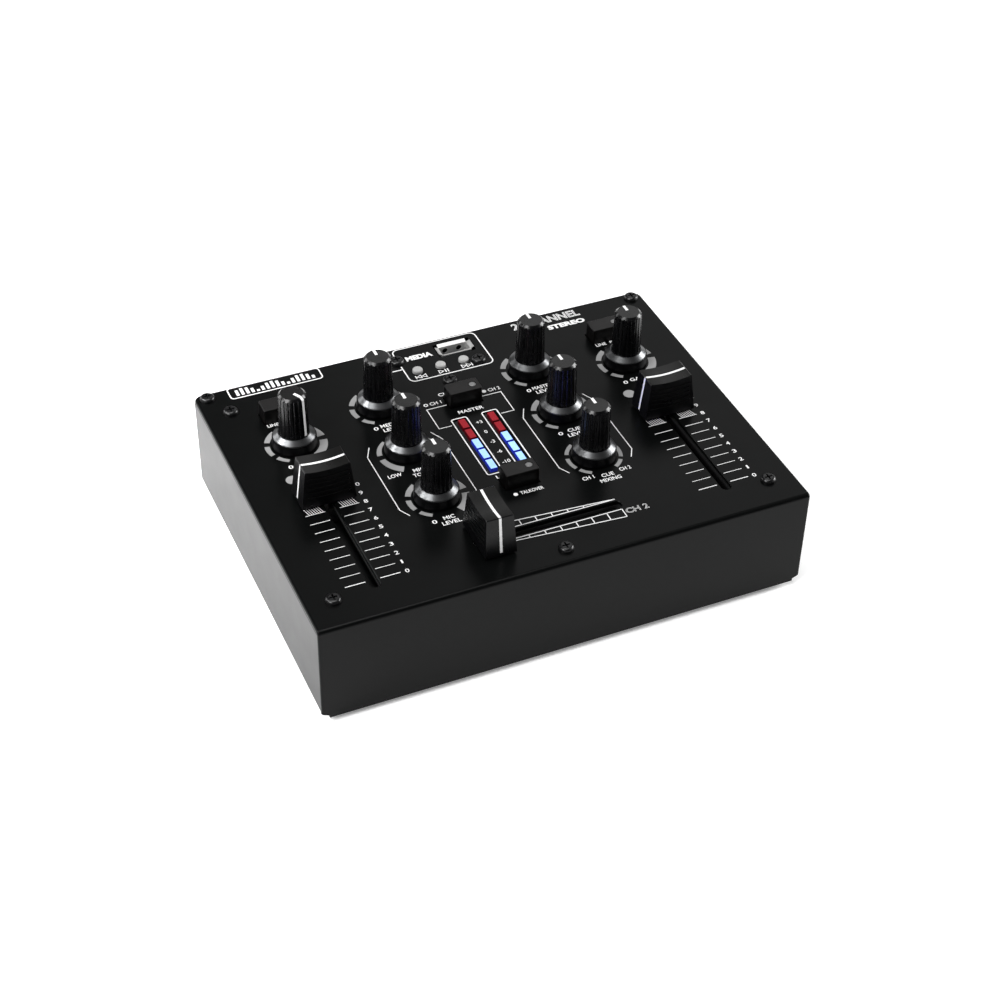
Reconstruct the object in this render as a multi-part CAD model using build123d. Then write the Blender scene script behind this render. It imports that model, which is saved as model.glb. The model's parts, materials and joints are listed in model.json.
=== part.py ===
from build123d import *
import math
import os

# Compact two-channel tabletop DJ mixer: folded steel case, rotary controls, faders, switches and sockets.
# Millimetres, +Z up. The origin is the centre of the footprint on the surface the rubber feet stand on.
# +X is to the player's right and +Y is towards the rear connector panel.

OVERRUN = 1.0               # how far a cutting shape reaches past the face it opens
NEAR = 0.25                 # how close an edge's middle lies to the place it is picked by

# Case
WIDTH = 200.0
DEPTH = 148.6
CASE_HEIGHT = 43.7          # underside of the base tray to the face of the top panel
FOOT_HEIGHT = 2.5
SHEET = 1.2                 # steel sheet
TOP_BEND = 1.6              # outer radius of the fold between top panel and front face
TRAY_BEND = 3.0             # outer radius of the folds along the base tray
REAR_CORNER = 3.5           # plan radius of the top panel's rear corners
SIDE_ROUND = 0.9            # rounding along the top panel's side and rear edges
PUNCH_BREAK = 0.15          # bevel round the top panel's openings
SIDE_INSET = 0.2            # side walls stand this far inside the top panel's edge
SEAM = 0.25                 # gap where two sheets meet edge to face
LIP_SEAM = 0.1
FLANGE = 7.5                # inward flanges along the side walls
REAR_FLANGE = 3.6
REAR_FOOT_FLANGE = 10.0

# Fasteners
SCREW_R = 1.5
SCREW_CLEAR = 0.2
HEAD_ROUNDING = 0.75        # share of the head's height that is domed
SCREW_HEAD_R = 3.0
SCREW_HEAD_H = 1.7
SCREW_LENGTH = 8.0
CROSS_SIZE = 3.2
CROSS_WIDTH = 0.75
CROSS_DEPTH = 1.0
SPACER_R = 2.5
FOOT_R = 7.0
FOOT_CHAMFER = 0.85
FOOT_INSET = 14.0

# Circuit board
BOARD_T = 1.6
BOARD_DROP = 11.0           # underside of the top panel to the board's top face
BOARD_MARGIN = 6.0

# Rotary controls
SHAFT_R = 3.0
SHAFT_RUNNING = 0.03
BUSH_WALL = 0.42
BUSH_PROUD = 0.3
POT_SIZE = 12.0
POT_TOP_GAP = 1.2
POT_FLOOR = 3.0
PANEL_BUSH_CLEAR = 0.25
KNOB_LIFT = 0.8             # gap under a knob's skirt
KNOB_HEIGHT = 25.0          # panel to the knob's top
SKIRT_R = 8.9
SKIRT_TOP_R = 8.75
SKIRT_HEIGHT = 4.6
COLLAR_R = 8.5
COLLAR_RIM = 0.35
COLLAR_HEIGHT = 1.9
COLLAR_FIT = 0.02
GRIP_R = 6.1
GRIP_TOP_R = 5.5
GRIP_CHAMFER = 1.0
FLUTES = 20
FLUTE_R = 0.55
FLUTE_DEPTH = 0.3
POINTER_W = 1.5
POINTER_PROUD = 0.1
SHAFT_COVER = 4.0           # knob material above the shaft's end
GAIN_1_TURN = 150.0         # first channel's gain, clockwise from twelve o'clock

# Faders
FADER_TRAVEL = 53.1
SLOT_SPARE = 1.95           # slot beyond the blade at each end of its travel
SLOT_SIDE = 1.2             # slot beside the blade
FADER_FRAME_W = 11.4
FADER_FRAME_WALL = 1.2
FADER_FRAME_END = 3.0
FADER_FRAME_GAP = 1.0       # fader frame to the top panel's underside
BLADE_W = 1.6
BLADE_L = 4.0
BLADE_REACH = 9.0           # blade above the top panel
CARRIAGE_L = 8.0
CARRIAGE_GAP = 0.3
CAP_LIFT = 1.0
CAP_HEIGHT = 17.6           # panel to the cap's ends
CAP_L = 21.8
CAP_W = 12.6
CAP_TOP_L = 17.9
CAP_TOP_W = 10.9
CAP_DIP = 0.9
CAP_EDGE = 0.5
CAP_GROOVES = 5
CAP_GROOVE_FIRST = 3.2      # hollow of the top to the first groove's lower side
CAP_GROOVE_W = 0.7
CAP_GROOVE_PITCH = 2.1
CAP_GROOVE_DEPTH = 0.35

# Push switches
SWITCH_L = 13.8
SWITCH_W = 7.5
SWITCH_H = 6.7
SWITCH_CORNER = 0.6
SWITCH_EDGE = 0.35
SWITCH_GAP = 0.35
SWITCH_TRAVEL = 3.0
SWITCH_SKIRT = 2.0          # cap below the panel face at rest
SWITCH_STEM_L = 5.0
SWITCH_STEM_W = 4.0
SWITCH_STEM_GAP = 0.15
SWITCH_BODY_L = 11.0
SWITCH_BODY_W = 8.0
LENS_R = 1.5
LENS_DEPTH = 0.6
LENS_OFFSET = 4.0

# Player buttons
BUTTON_R = 2.15
BUTTON_H = 1.3
BUTTON_DOME = 0.8
BUTTON_GAP = 0.2
BUTTON_FLANGE_R = 3.0
BUTTON_FLANGE_T = 0.8
BUTTON_FLANGE_GAP = 0.1
BUTTON_STEM_R = 1.2
BUTTON_TRAVEL = 0.4
BUTTON_PITCH = 10.2
TACT_SIZE = 6.0
TACT_H = 3.5
TACT_ACTUATOR_R = 1.75
TACT_ACTUATOR_H = 1.0

# Player socket, standard plug size
PORT_W = 12.5
PORT_H = 5.1
PORT_WALL = 0.3
PORT_DEPTH = 11.5
PORT_MOUTH_DROP = 0.4       # shell's edge below the panel face
PORT_LIP = 1.3              # outward reach of the flared lips
PORT_LIP_RISE = 0.7
PORT_CUT_GAP = 0.3
PORT_NOTCH_R = 1.2
PORT_NOTCH_DROP = 2.2       # latch notches' centres below the shell's edge
PORT_BASE = 2.0
TONGUE_W = 11.1
TONGUE_T = 1.84
TONGUE_TOP = 2.5            # tongue's end below the panel face
TONGUE_OFFSET = 1.1

# Level meter
METER_X = 6.3
METER_W = 5.2
METER_STEPS = 5
METER_PITCH = 6.85
METER_MARGIN = 1.6
METER_CARRIER_DROP = 0.8
METER_CARRIER_GAP = 0.15
LED_W = 2.9
LED_L = 5.9
LED_PROUD = 1.0
LED_BODY = 4.0
LED_EDGE = 0.2
RED_STEPS = 2

# Rear connectors
BARREL_R = 4.15
BARREL_BORE_R = 3.55
BARREL_OUT = 8.5
BARREL_BACK = 2.0           # closed back of a barrel
CONTACT_R = 2.2
CONTACT_BORE_R = 1.65
RING_R = 5.0
RING_OUT = 1.6
RING_FIT = 0.05
PHONO_LOW = 8.2             # lower phono row above the tray's underside
PHONO_PITCH = 13.0
PHONO_BLOCK_W = 13.0
PHONO_BLOCK_DEPTH = 12.0
JACK_BORE_R = 3.2
JACK_BUSH_R = 5.75
JACK_BODY = 15.0
JACK_DEPTH = 24.0
JACK_OUT = 4.0
JACK_BACK = 2.0
NUT_R = 7.6
NUT_T = 2.4
NUT_FLUTES = 24
KNURL_R = 0.5
KNURL_DEPTH = 0.25
CONNECTOR_Z = 15.5          # jacks and DC inlet above the tray's underside
INLET_W = 9.0
INLET_H = 11.0
INLET_DEPTH = 13.0
INLET_BORE_R = 3.15
INLET_PIN_R = 1.0
INLET_OUT = 0.8
INLET_BACK = 3.0
POST_R = 3.6
POST_STUD_R = 2.0
POST_HEAD_T = 4.0
POST_NECK = 2.0
POST_FLUTES = 16
POST_TIP = 1.0
HOLE_GAP = 0.2

# Layout on the top panel: X from the side edges or the centre, Y from the front edge, rear edge or panel centre
CHANNEL_EDGE = 27.9         # channel columns from the side edges
GAIN_REAR = 44.3
CHANNEL_SWITCH_REAR = 24.9
SLOT_FRONT = 14.8           # near end of a channel slot from the front edge
CROSS_FRONT = 23.0          # crossfader slot from the front edge
CHANNEL_REST = 1.55         # channel caps' distance from the far end of their travel
CROSS_REST = 2.4            # crossfader cap's distance from the left end of its travel
COLUMN_X = 33.15            # inner knob columns
ROW_MID = 9.3
ROW_PITCH = 30.5
CUE_SWITCH_Y = 31.5
TALK_SWITCH_Y = -23.9
METER_Y = 2.0
BUTTON_REAR = 18.2
BUTTON_MID_X = 0.4
PORT_X = 10.5
PORT_REAR = 8.5
BOARD_SCREW_EDGE = 11.0
BOARD_SCREW_FRONT = 14.0
BOARD_SCREW_REAR = 15.7
CORNER_SCREW_EDGE = 5.0
CORNER_SCREW_REAR = 3.9
CENTRE_SCREW_FRONT = 7.7
CENTRE_SCREW_REAR = 29.3
PLAYER_SCREWS = ((16.4, 20.5), (-15.5, 9.3))    # X, and distance from the rear edge
PHONO_X = (-70.0, -50.0, -24.0, -4.0, 22.0)
JACK_X = (46.0, 66.0)
INLET_X = 86.0
POST_X = (-86.0, -37.0)
TRAY_SCREW_X = (-37.0, 34.0)

# Levels and edges
TOP_Z = FOOT_HEIGHT + CASE_HEIGHT
UNDER_Z = TOP_Z - SHEET
BOARD_Z = UNDER_Z - BOARD_DROP
FLOOR_Z = FOOT_HEIGHT + SHEET
REAR_INSET = SEAM / 2
BUSH_R = SHAFT_R + SHAFT_RUNNING + BUSH_WALL
SLOT_LENGTH = FADER_TRAVEL + BLADE_L + 2 * SLOT_SPARE
SLOT_W = BLADE_W + 2 * SLOT_SIDE
FRONT_Y = -(DEPTH - REAR_INSET + BARREL_OUT) / 2
REAR_Y = FRONT_Y + DEPTH
PANEL_Y = FRONT_Y + DEPTH / 2
EDGE_X = WIDTH / 2
TRAY_FRONT = FRONT_Y + TOP_BEND + LIP_SEAM
REAR_FACE = REAR_Y - REAR_INSET
TRAY_REAR = REAR_FACE - SHEET - LIP_SEAM
PIECES = {}


def levels(low, high):
    """Height and centre of a span along Z."""
    return high - low, (low + high) / 2


def block(x0, x1, y0, y1, z0, z1):
    """Box between two corners."""
    centre = ((x0 + x1) / 2, (y0 + y1) / 2, (z0 + z1) / 2)
    return Pos(*centre) * Box(x1 - x0, y1 - y0, z1 - z0)


def slab(x, y, length, width, low, high):
    """Box centred on X, Y between two heights."""
    height, middle = levels(low, high)
    return Pos(x, y, middle) * Box(length, width, height)


def post(x, y, radius, low, high):
    """Upright cylinder between two heights."""
    height, middle = levels(low, high)
    return Pos(x, y, middle) * Cylinder(radius, height)


def bar(x, z, radius, y0, y1):
    """Cylinder along Y between two depths."""
    return Pos(x, (y0 + y1) / 2, z) * Rot(90, 0, 0) * Cylinder(radius, y1 - y0)


def slot(x, y, length, width, along_x, low, high):
    """Upright prism with round ends."""
    turn = 0 if along_x else 90
    prism = extrude(SlotOverall(length, width), high - low)
    return Pos(x, y, low) * Rot(0, 0, turn) * prism


def keep(name, *solids):
    """Record one node made of one or more separate solids."""
    PIECES[name] = list(solids)


def corners_of(x, front, rear):
    """Four mirrored places: near pair first."""
    return [(side * x, y) for y in (front, rear) for side in (-1, 1)]


# ---- Places shared by several pieces ----
GAIN_X = EDGE_X - CHANNEL_EDGE
ROW_Y = PANEL_Y + ROW_MID
METER_MID_Y = PANEL_Y + METER_Y
KNOBS = {
    "gain_1": (-GAIN_X, REAR_Y - GAIN_REAR),
    "gain_2": (GAIN_X, REAR_Y - GAIN_REAR),
    "player_level": (-COLUMN_X, ROW_Y + ROW_PITCH),
    "mic_tone": (-COLUMN_X, ROW_Y),
    "mic_level": (-COLUMN_X, ROW_Y - ROW_PITCH),
    "master_level": (COLUMN_X, ROW_Y + ROW_PITCH),
    "cue_level": (COLUMN_X, ROW_Y),
    "cue_mix": (COLUMN_X, ROW_Y - ROW_PITCH),
}
SWITCHES = {
    "input_1": (-GAIN_X, REAR_Y - CHANNEL_SWITCH_REAR),
    "input_2": (GAIN_X, REAR_Y - CHANNEL_SWITCH_REAR),
    "cue": (0.0, PANEL_Y + CUE_SWITCH_Y),
    "talkover": (0.0, PANEL_Y + TALK_SWITCH_Y),
}
BUTTONS = {
    name: (BUTTON_MID_X + (i - 1) * BUTTON_PITCH, REAR_Y - BUTTON_REAR)
    for i, name in enumerate(("previous", "play", "next"))
}
SLOT_MID_Y = FRONT_Y + SLOT_FRONT + SLOT_LENGTH / 2
CROSS_Y = FRONT_Y + CROSS_FRONT
FADERS = {
    "channel_1": (-GAIN_X, SLOT_MID_Y, False, FADER_TRAVEL / 2 - CHANNEL_REST),
    "channel_2": (GAIN_X, SLOT_MID_Y, False, FADER_TRAVEL / 2 - CHANNEL_REST),
    "crossfader": (0.0, CROSS_Y, True, CROSS_REST - FADER_TRAVEL / 2),
}
BOARD_SCREWS = corners_of(EDGE_X - BOARD_SCREW_EDGE, FRONT_Y + BOARD_SCREW_FRONT, REAR_Y - BOARD_SCREW_REAR)
PLAYER_SCREW_PLACES = [(x, REAR_Y - back) for x, back in PLAYER_SCREWS]
HUNG_SCREWS = BOARD_SCREWS + [(0.0, REAR_Y - CENTRE_SCREW_REAR)] + PLAYER_SCREW_PLACES
TALL_SCREW = (0.0, FRONT_Y + CENTRE_SCREW_FRONT)
CORNER_SCREWS = [(side * (EDGE_X - CORNER_SCREW_EDGE), REAR_Y - CORNER_SCREW_REAR) for side in (-1, 1)]
TRAY_SCREWS = [(x, REAR_Y - REAR_FOOT_FLANGE / 2 - SHEET) for x in TRAY_SCREW_X]
METER_LENGTH = METER_STEPS * METER_PITCH + 2 * METER_MARGIN - (METER_PITCH - LED_L)


def rounded_top():
    """Top panel and front face: one sheet with a fold, before its openings."""
    front_low = FLOOR_Z + LIP_SEAM
    solid = block(-EDGE_X, EDGE_X, FRONT_Y, REAR_Y, front_low, TOP_Z)
    solid -= block(-EDGE_X, EDGE_X, FRONT_Y + SHEET, REAR_Y, front_low, UNDER_Z)
    upright = [e for e in solid.edges().filter_by(Axis.Z) if e.center().Y > REAR_Y - SHEET]
    solid = fillet(upright, REAR_CORNER)
    fold = [e for e in solid.edges().filter_by(Axis.X)
            if e.center().Z > TOP_Z - NEAR and e.center().Y < FRONT_Y + NEAR]
    solid = fillet(fold, TOP_BEND)
    inside = [e for e in solid.edges().filter_by(Axis.X)
              if abs(e.center().Z - UNDER_Z) < NEAR and abs(e.center().Y - FRONT_Y - SHEET) < NEAR]
    solid = fillet(inside, TOP_BEND - SHEET)
    for side in (-1, 1):
        outline = Polyline((side * EDGE_X, front_low + SHEET), (side * EDGE_X, front_low),
                           (side * (EDGE_X - TRAY_BEND), front_low), close=True)
        nick = extrude(Plane.XZ * make_face(outline), 2 * SHEET, both=True)
        solid -= Pos(0, FRONT_Y, 0) * nick
    return solid


def top_openings():
    """Everything that passes through the top panel."""
    low, high = UNDER_Z - SHEET, TOP_Z + SHEET
    cuts = [post(x, y, BUSH_R + PANEL_BUSH_CLEAR, low, high) for x, y in KNOBS.values()]
    cuts += [slot(x, y, SLOT_LENGTH, SLOT_W, along_x, low, high) for x, y, along_x, _ in FADERS.values()]
    cuts += [slab(x, y, SWITCH_L + 2 * SWITCH_GAP, SWITCH_W + 2 * SWITCH_GAP, low, high)
             for x, y in SWITCHES.values()]
    cuts += [post(x, y, BUTTON_R + BUTTON_GAP, low, high) for x, y in BUTTONS.values()]
    cuts += [slab(side * METER_X, METER_MID_Y, METER_W, METER_LENGTH, low, high) for side in (-1, 1)]
    lip = 2 * (PORT_WALL + PORT_LIP + PORT_CUT_GAP)
    cuts.append(slab(PORT_X, REAR_Y - PORT_REAR, PORT_W + lip, PORT_H + lip, low, high))
    screws = HUNG_SCREWS + CORNER_SCREWS + [TALL_SCREW]
    cuts += [post(x, y, SCREW_R + SCREW_CLEAR, low, high) for x, y in screws]
    return cuts


def make_top_panel():
    """The sheet with its openings punched and its cut edges eased."""
    panel = rounded_top() - top_openings()
    face = panel.faces().filter_by(Axis.Z).sort_by(Axis.Z)[-1]
    panel = chamfer([e for wire in face.inner_wires() for e in wire.edges()], PUNCH_BREAK)
    face = panel.faces().filter_by(Axis.Z).sort_by(Axis.Z)[-1]
    border = [e for e in face.outer_wire().edges() if e.center().Y > FRONT_Y + TOP_BEND + NEAR]
    panel = fillet(border, SIDE_ROUND)
    keep("top_panel", panel)


def make_base_tray():
    """Bottom and both side walls, folded from one sheet, with inward flanges under the top panel."""
    width = WIDTH - 2 * SIDE_INSET
    height, middle = levels(FOOT_HEIGHT, UNDER_Z)
    length = TRAY_REAR - TRAY_FRONT
    outer = Pos(0, 0, middle) * Box(width, length, height)
    outer = fillet([e for e in outer.edges().filter_by(Axis.Y) if e.center().Z < middle], TRAY_BEND)
    outer = fillet([e for e in outer.edges().filter_by(Axis.Y) if e.center().Z > middle], TOP_BEND)
    past = length + 2 * OVERRUN
    inner = Pos(0, 0, middle) * Box(width - 2 * SHEET, past, height - 2 * SHEET)
    inner = fillet([e for e in inner.edges().filter_by(Axis.Y) if e.center().Z < middle], TRAY_BEND - SHEET)
    inner = fillet([e for e in inner.edges().filter_by(Axis.Y) if e.center().Z > middle], TOP_BEND - SHEET)
    tray = outer - inner
    tray -= Pos(0, 0, UNDER_Z) * Box(width - 2 * FLANGE, past, 4 * SHEET)
    tray = Pos(0, (TRAY_FRONT + TRAY_REAR) / 2, 0) * tray
    lip_x = EDGE_X - TRAY_BEND
    tray += block(-lip_x, lip_x, FRONT_Y + LIP_SEAM, TRAY_FRONT, FOOT_HEIGHT, FLOOR_Z)
    tray += block(-lip_x, lip_x, TRAY_REAR, REAR_FACE - LIP_SEAM, FOOT_HEIGHT, FLOOR_Z)
    for x, y in CORNER_SCREWS:
        tray -= post(x, y, SCREW_R, UNDER_Z - 2 * SHEET, TOP_Z)
    for x, y in TRAY_SCREWS + [TALL_SCREW]:
        tray -= post(x, y, SCREW_R + SCREW_CLEAR, 0, FLOOR_Z + SHEET)
    keep("base_tray", tray)


def rear_holes():
    """Openings for the connectors."""
    y0, y1 = TRAY_REAR - SHEET, REAR_Y + SHEET
    cuts = [bar(x, z, RING_R + HOLE_GAP, y0, y1) for x, z in phono_places()]
    cuts += [bar(x, FOOT_HEIGHT + CONNECTOR_Z, JACK_BUSH_R + HOLE_GAP, y0, y1) for x in JACK_X]
    inlet_z = FOOT_HEIGHT + CONNECTOR_Z
    cuts.append(block(INLET_X - INLET_W / 2 - HOLE_GAP, INLET_X + INLET_W / 2 + HOLE_GAP, y0, y1,
                      inlet_z - INLET_H / 2 - HOLE_GAP, inlet_z + INLET_H / 2 + HOLE_GAP))
    cuts += [bar(x, FOOT_HEIGHT + CONNECTOR_Z, POST_STUD_R, y0, y1) for x in POST_X]
    return cuts


def make_rear_panel():
    """Connector plate with a flange under the top panel and one on the tray."""
    half = EDGE_X - SIDE_INSET - SHEET - SEAM
    plate = block(-half, half, REAR_FACE - SHEET, REAR_FACE, FLOOR_Z + LIP_SEAM, UNDER_Z)
    low_half = half - TRAY_BEND
    plate += block(-low_half, low_half, REAR_FACE - REAR_FOOT_FLANGE, REAR_FACE, FLOOR_Z, FLOOR_Z + SHEET)
    top_half = half - FLANGE - SEAM
    plate += block(-top_half, top_half, REAR_FACE - SHEET - REAR_FLANGE, REAR_FACE, UNDER_Z - SHEET, UNDER_Z)
    for x, y in TRAY_SCREWS:
        plate -= post(x, y, SCREW_R, 0, FLOOR_Z + 2 * SHEET)
    keep("rear_panel", plate - rear_holes())


def make_board():
    """Main circuit board hung under the top panel."""
    half = EDGE_X - BOARD_MARGIN
    board = block(-half, half, FRONT_Y + BOARD_MARGIN, REAR_Y - BOARD_MARGIN, BOARD_Z - BOARD_T, BOARD_Z)
    board -= post(*TALL_SCREW, SPACER_R + SCREW_R, BOARD_Z - 2 * BOARD_T, BOARD_Z + BOARD_T)
    for x, y in HUNG_SCREWS:
        board -= post(x, y, SCREW_R + SCREW_CLEAR, BOARD_Z - 2 * BOARD_T, BOARD_Z + BOARD_T)
    keep("circuit_board", board)


def make_spacers():
    """Round threaded spacers: short ones hang the board, a tall one ties the tray to the panel's front."""
    places = [(x, y, BOARD_Z) for x, y in HUNG_SCREWS] + [(*TALL_SCREW, FLOOR_Z)]
    spacers = []
    for x, y, low in places:
        spacers.append(post(x, y, SPACER_R, low, UNDER_Z) - post(x, y, SCREW_R, low, UNDER_Z))
    keep("spacers", *spacers)


def screw(length):
    """Cross-head machine screw, head's underside at z = 0."""
    head = Pos(0, 0, SCREW_HEAD_H / 2) * Cylinder(SCREW_HEAD_R, SCREW_HEAD_H)
    rim = head.edges().sort_by(Axis.Z)[-1]
    head = fillet(rim, SCREW_HEAD_H * HEAD_ROUNDING)
    arm = Box(CROSS_SIZE, CROSS_WIDTH, 2 * CROSS_DEPTH)
    cross = Pos(0, 0, SCREW_HEAD_H) * (arm + Rot(0, 0, 90) * arm)
    return head + Pos(0, 0, -length / 2) * Cylinder(SCREW_R, length) - cross


def make_screws():
    """Panel screws from above, board and tray screws from below."""
    short = SCREW_LENGTH / 2
    down = [Pos(x, y, TOP_Z) * screw(short) for x, y in HUNG_SCREWS + CORNER_SCREWS]
    down.append(Pos(*TALL_SCREW, TOP_Z) * screw(SCREW_LENGTH))
    flip = Rot(180, 0, 0)
    up = [Pos(x, y, BOARD_Z - BOARD_T) * flip * screw(short) for x, y in HUNG_SCREWS]
    up += [Pos(x, y, FOOT_HEIGHT) * flip * screw(short) for x, y in TRAY_SCREWS + [TALL_SCREW]]
    keep("machine_screws", *down, *up)


def make_feet():
    """Four domed rubber feet under the tray."""
    feet = []
    for x, y in corners_of(EDGE_X - FOOT_INSET, FRONT_Y + FOOT_INSET, REAR_Y - FOOT_INSET):
        foot = post(x, y, FOOT_R, 0, FOOT_HEIGHT)
        feet.append(chamfer(foot.edges().sort_by(Axis.Z)[0], FOOT_CHAMFER))
    keep("rubber_feet", *feet)


def make_pots():
    """Potentiometer bodies with a plain bush through the top panel."""
    pots = []
    for x, y in KNOBS.values():
        pot = slab(x, y, POT_SIZE, POT_SIZE, BOARD_Z, UNDER_Z - POT_TOP_GAP)
        pot += post(x, y, BUSH_R, BOARD_Z, TOP_Z + BUSH_PROUD)
        pot -= post(x, y, SHAFT_R + SHAFT_RUNNING, BOARD_Z + POT_FLOOR, TOP_Z + SHEET)
        pots.append(pot)
    keep("pot_bodies", *pots)


def grip():
    """Fluted tapering grip with a chamfered crown and a raised rib for the pointer."""
    low, high = SKIRT_HEIGHT, KNOB_HEIGHT
    outline = Polyline((0, low), (GRIP_R, low), (GRIP_TOP_R, high - GRIP_CHAMFER),
                       (GRIP_TOP_R - GRIP_CHAMFER, high), (0, high), close=True)
    body = revolve(Plane.XZ * make_face(outline), Axis.Z)
    lean = math.degrees(math.atan2(GRIP_R - GRIP_TOP_R, high - low))
    flute_from = low + COLLAR_HEIGHT + COLLAR_RIM
    flute_length = high - flute_from + OVERRUN
    flute = Pos(GRIP_R + FLUTE_R - FLUTE_DEPTH, 0, low) * Rot(0, -lean, 0) * Pos(
        0, 0, flute_from - low + flute_length / 2) * Cylinder(FLUTE_R, flute_length)
    step = 360 / FLUTES
    for i in range(FLUTES):
        body -= Rot(0, 0, (i + 0.5) * step) * flute
    rib_in = GRIP_TOP_R - 2 * GRIP_CHAMFER
    rib = Polyline((rib_in, flute_from), (GRIP_R + POINTER_PROUD, flute_from),
                   (GRIP_TOP_R + POINTER_PROUD, high - GRIP_CHAMFER),
                   (GRIP_TOP_R - GRIP_CHAMFER, high), (rib_in, high), close=True)
    ridge = extrude(Plane.XZ * make_face(rib), POINTER_W / 2, both=True)
    return body + Rot(0, 0, 90) * ridge


def make_knob_set():
    """Knob, collar and shaft in their own frame: z = 0 on the top panel's face, pointer towards +Y."""
    skirt = Polyline((0, KNOB_LIFT), (SKIRT_R, KNOB_LIFT), (SKIRT_TOP_R, SKIRT_HEIGHT),
                     (0, SKIRT_HEIGHT), close=True)
    knob = revolve(Plane.XZ * make_face(skirt), Axis.Z) + grip()
    shaft_top = KNOB_HEIGHT - SHAFT_COVER
    knob -= post(0, 0, SHAFT_R, 0, shaft_top)
    collar = Polyline((GRIP_R + COLLAR_FIT, SKIRT_HEIGHT), (COLLAR_R, SKIRT_HEIGHT),
                      (COLLAR_R - COLLAR_RIM / 2, SKIRT_HEIGHT + COLLAR_RIM),
                      (GRIP_R + COLLAR_RIM, SKIRT_HEIGHT + COLLAR_HEIGHT),
                      (GRIP_R + COLLAR_FIT, SKIRT_HEIGHT + COLLAR_HEIGHT), close=True)
    ring = revolve(Plane.XZ * make_face(collar), Axis.Z)
    shaft = post(0, 0, SHAFT_R, BOARD_Z + POT_FLOOR + SHAFT_RUNNING - TOP_Z, shaft_top)
    return knob, ring, shaft


def make_knobs():
    """The eight rotary controls; the first channel's gain is turned fully clockwise."""
    knob, ring, shaft = make_knob_set()
    for name, (x, y) in KNOBS.items():
        turn = -GAIN_1_TURN if name == "gain_1" else 0
        place = Pos(x, y, TOP_Z) * Rot(0, 0, turn)
        keep("knob_" + name, place * knob)
        keep("collar_" + name, place * ring)
        keep("shaft_" + name, place * shaft)


def make_fader_frames():
    """Long metal frames that the fader carriages run in."""
    frames = []
    top = UNDER_Z - FADER_FRAME_GAP
    cavity_l = FADER_TRAVEL + CARRIAGE_L + 2 * CARRIAGE_GAP
    for x, y, along_x, _ in FADERS.values():
        size = (SLOT_LENGTH + 2 * FADER_FRAME_END, FADER_FRAME_W)
        hollow = (cavity_l, FADER_FRAME_W - 2 * FADER_FRAME_WALL)
        turn = 0 if along_x else 90
        frame = slab(0, 0, *size, BOARD_Z, top)
        frame -= slab(0, 0, *hollow, BOARD_Z + FADER_FRAME_WALL, top - FADER_FRAME_WALL)
        frame -= slot(0, 0, SLOT_LENGTH, SLOT_W, True, top - 2 * FADER_FRAME_WALL, top + OVERRUN)
        frames.append(Pos(x, y, 0) * Rot(0, 0, turn) * frame)
    keep("fader_frames", *frames)


def cap_shape(trim):
    """Tapering fader cap, long in X, with its long faces drawn in by trim."""
    low = Plane.XY.offset(CAP_LIFT) * Rectangle(CAP_L, CAP_W - 2 * trim)
    high = Plane.XY.offset(CAP_HEIGHT) * Rectangle(CAP_TOP_L, CAP_TOP_W - 2 * trim)
    return loft([low, high])


def saddle_radius():
    """Radius of the hollow along the top of a fader cap."""
    return (CAP_TOP_L ** 2 / 4 + CAP_DIP ** 2) / (2 * CAP_DIP)


def make_cap():
    """Fader cap with a hollowed top and curved finger grooves, over its own lever blade."""
    body = cap_shape(0)
    core = cap_shape(CAP_GROOVE_DEPTH)
    body = fillet(body.edges().filter_by(Axis.Z, reverse=True).group_by(Axis.Z)[-1], CAP_EDGE)
    radius = saddle_radius()
    axis_z = CAP_HEIGHT - CAP_DIP + radius
    hollow = Pos(0, 0, axis_z) * Rot(90, 0, 0) * Cylinder(radius, 2 * CAP_W)
    body -= hollow
    for i in range(CAP_GROOVES):
        outer_r = radius + CAP_GROOVE_FIRST + i * CAP_GROOVE_PITCH
        tube = Cylinder(outer_r, 2 * CAP_W) - Cylinder(outer_r - CAP_GROOVE_W, 2 * CAP_W)
        slice_box = slab(0, 0, CAP_TOP_L - 2 * CAP_EDGE, 2 * CAP_W, CAP_LIFT, CAP_HEIGHT)
        body -= (Pos(0, 0, axis_z) * Rot(90, 0, 0) * tube) & slice_box - core
    return body


def make_faders():
    """Caps and levers of the two channel faders and the crossfader, at their rest places."""
    cap = make_cap() - slab(0, 0, BLADE_W, BLADE_L, 0, BLADE_REACH)
    top = UNDER_Z - FADER_FRAME_GAP
    carriage_w = FADER_FRAME_W - 2 * FADER_FRAME_WALL - 2 * CARRIAGE_GAP
    low = BOARD_Z + FADER_FRAME_WALL + CARRIAGE_GAP - TOP_Z
    high = top - FADER_FRAME_WALL - CARRIAGE_GAP - TOP_Z
    for name, (x, y, along_x, rest) in FADERS.items():
        cap_turn = 90 if along_x else 0
        lever = slab(0, 0, carriage_w, CARRIAGE_L, low, high)
        lever += slab(0, 0, BLADE_W, BLADE_L, high, BLADE_REACH)
        shift = (rest, 0) if along_x else (0, rest)
        place = Pos(x + shift[0], y + shift[1], TOP_Z) * Rot(0, 0, cap_turn)
        keep("cap_" + name, place * cap)
        keep("lever_" + name, place * lever)


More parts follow.
